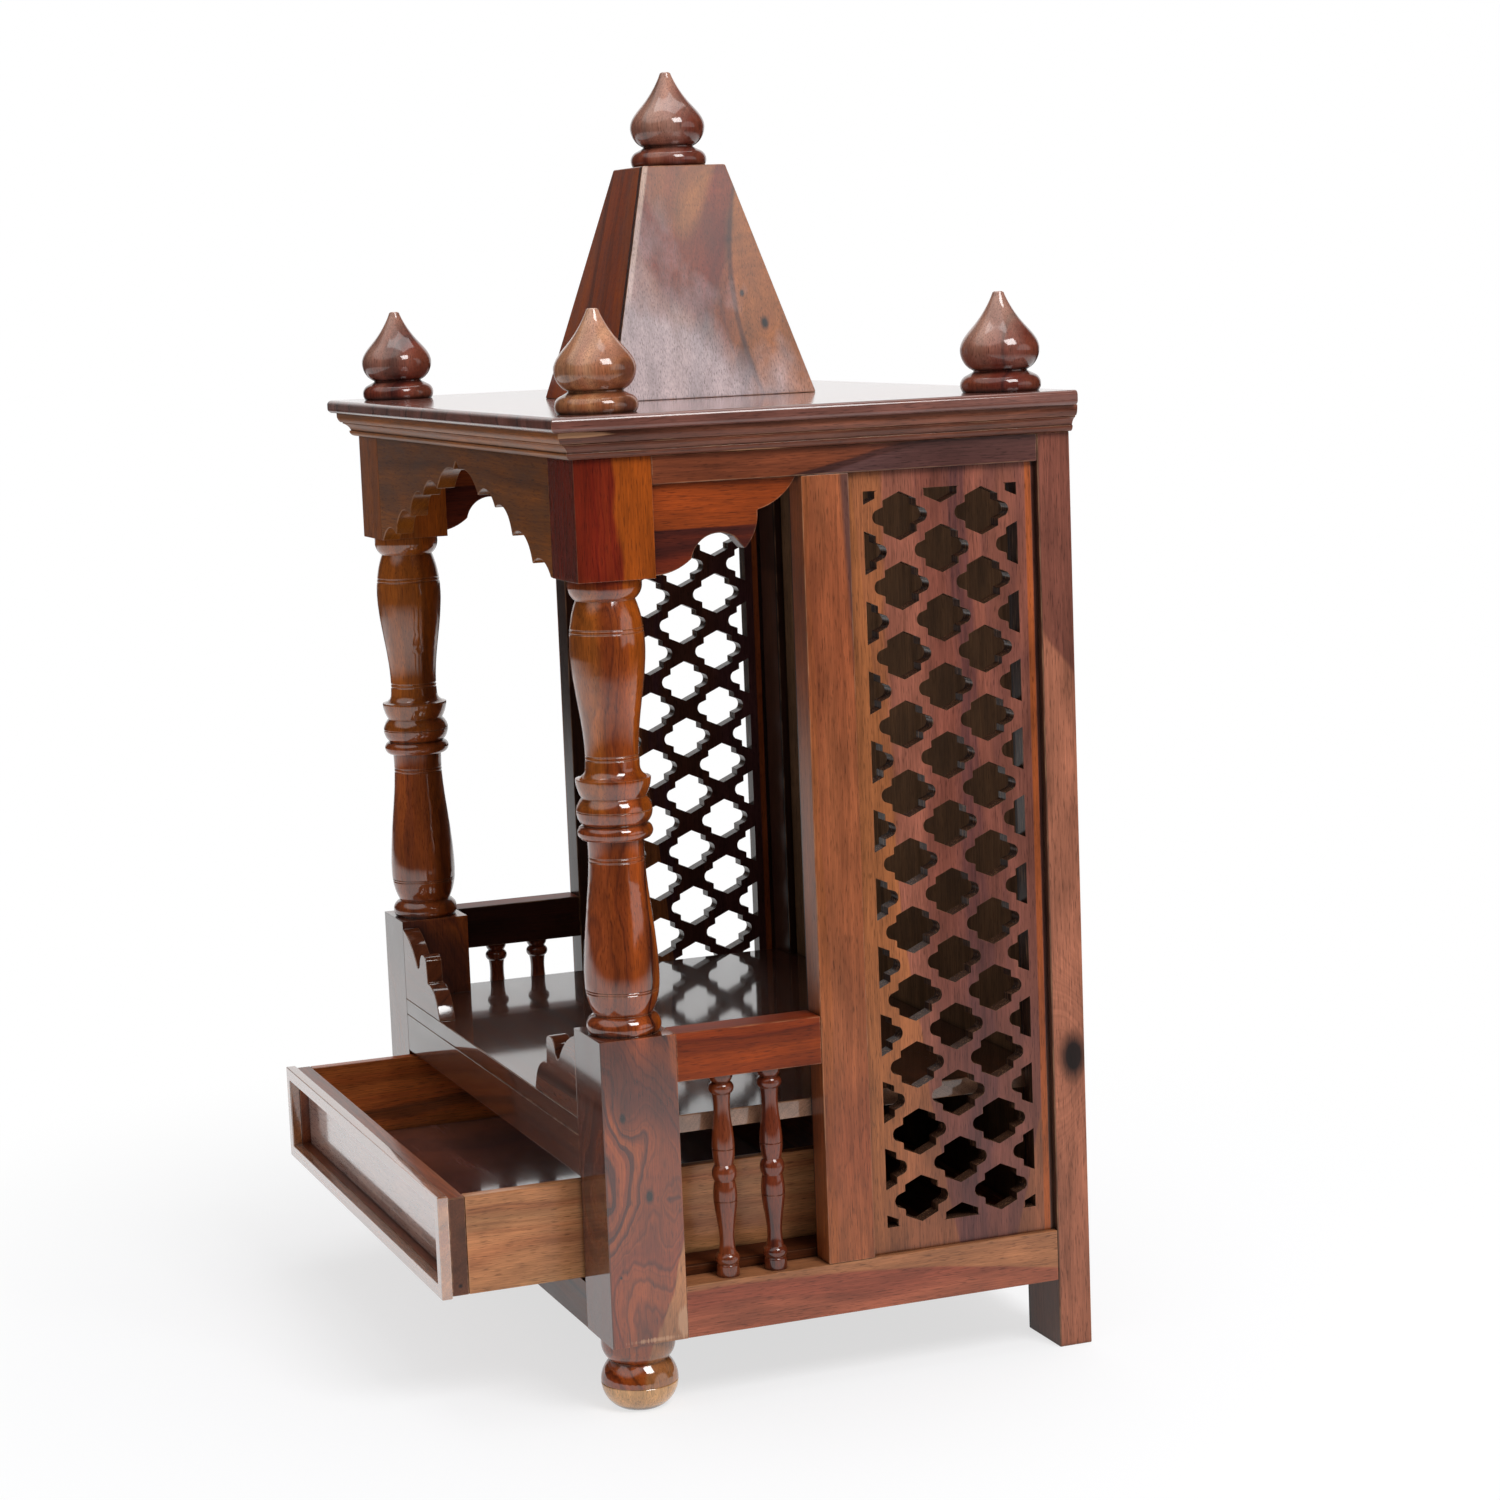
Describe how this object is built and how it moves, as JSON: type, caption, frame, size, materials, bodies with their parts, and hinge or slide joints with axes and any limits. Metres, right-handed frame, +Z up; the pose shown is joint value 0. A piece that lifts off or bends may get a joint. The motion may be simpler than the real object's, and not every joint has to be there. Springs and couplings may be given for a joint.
{
  "type": "pooja mandir",
  "caption": "Home shrine in solid wood: turned front posts, pierced side panels, cusped arch, drawer under the deck, hipped tower with turned finials.",
  "frame": {"origin": "on the floor, at the middle of the ground that the case and its drawer, drawn out as at rest, cover together", "axes": "+Z up, the front with its arch and drawer faces -Y, +X to the right of someone who looks at the front"},
  "size_m": [0.493, 0.3874, 0.7675],
  "materials": {
    "wood": "polished"
  },
  "bodies": {
    "case": {"back_panel": "wood", "back_rail_bottom": "wood", "back_rail_top": "wood", "bottom_board": "wood", "cornice_front": "wood", "cornice_left": "wood", "cornice_right": "wood", "deck": "wood", "deck_horn_left": "wood", "deck_horn_right": "wood", "drawer_runner_left": "wood", "drawer_runner_right": "wood", "finial_front_left": "wood", "finial_front_right": "wood", "finial_rear_left": "wood", "finial_rear_right": "wood", "finial_tower": "wood", "front_arch": "wood", "front_rail_lower": "wood", "front_rail_upper": "wood", "post_front_left": "wood", "post_front_right": "wood", "post_rear_left": "wood", "post_rear_right": "wood", "side_bracket_left": "wood", "side_bracket_right": "wood", "side_handrail_left": "wood", "side_handrail_right": "wood", "side_jali_left": "wood", "side_jali_right": "wood", "side_rail_bottom_left": "wood", "side_rail_bottom_right": "wood", "side_rail_top_left": "wood", "side_rail_top_right": "wood", "side_spindles_left": "wood", "side_spindles_right": "wood", "side_stile_left": "wood", "side_stile_right": "wood", "top_board": "wood", "tower_back": "wood", "tower_cap": "wood", "tower_front": "wood", "tower_left": "wood", "tower_right": "wood"},
    "drawer": {"drawer_back": "wood", "drawer_bottom": "wood", "drawer_front": "wood", "drawer_lip": "wood", "drawer_panel": "wood", "drawer_side_left": "wood", "drawer_side_right": "wood"}
  },
  "joints": [
    {"name": "drawer_slide", "type": "slide", "parent": "case", "child": "drawer", "axis": [0, -1, 0], "range_m": [-0.0855, 0.1]}
  ]
}
